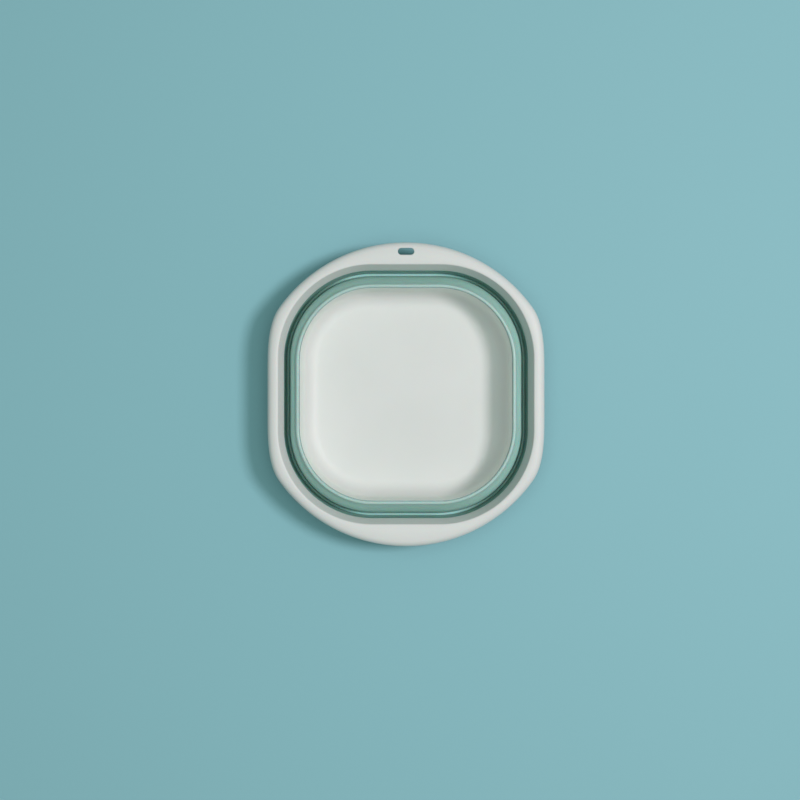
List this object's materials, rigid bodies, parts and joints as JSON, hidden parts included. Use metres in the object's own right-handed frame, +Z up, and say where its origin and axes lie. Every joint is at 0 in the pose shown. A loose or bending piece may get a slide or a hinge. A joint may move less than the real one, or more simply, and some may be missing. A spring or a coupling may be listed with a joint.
{
  "type": "collapsible wash basin",
  "caption": "Folding wash basin: hard rim with two crescent handles, soft wall that turns over as the rim lifts, shallow dish on soft pads",
  "frame": {"origin": "on the table under the middle of the dish, where the pads stand", "axes": "+Z up, the way the rim lifts; +Y towards the handle with the hanging slot; +X to the right with that handle at the top"},
  "size_m": [0.2232, 0.245, 0.04],
  "materials": {
    "white_plastic": "satin moulded polypropylene, slightly warm grey white",
    "teal_rubber": "soft matte thermoplastic rubber, grey teal"
  },
  "bodies": {
    "base": {"bottom_dish": "white_plastic", "dish_lip": "teal_rubber", "fold_wall": "teal_rubber", "foot_pad_1": "teal_rubber", "foot_pad_2": "teal_rubber", "foot_pad_3": "teal_rubber", "foot_pad_4": "teal_rubber"},
    "rim": {"rim_frame": "white_plastic", "wall_collar": "teal_rubber"}
  },
  "joints": [
    {"name": "rim_lift", "type": "slide", "parent": "base", "child": "rim", "axis": [0, 0, 1], "range_m": [0, 0.0558], "deforming": ["fold_wall"]}
  ]
}
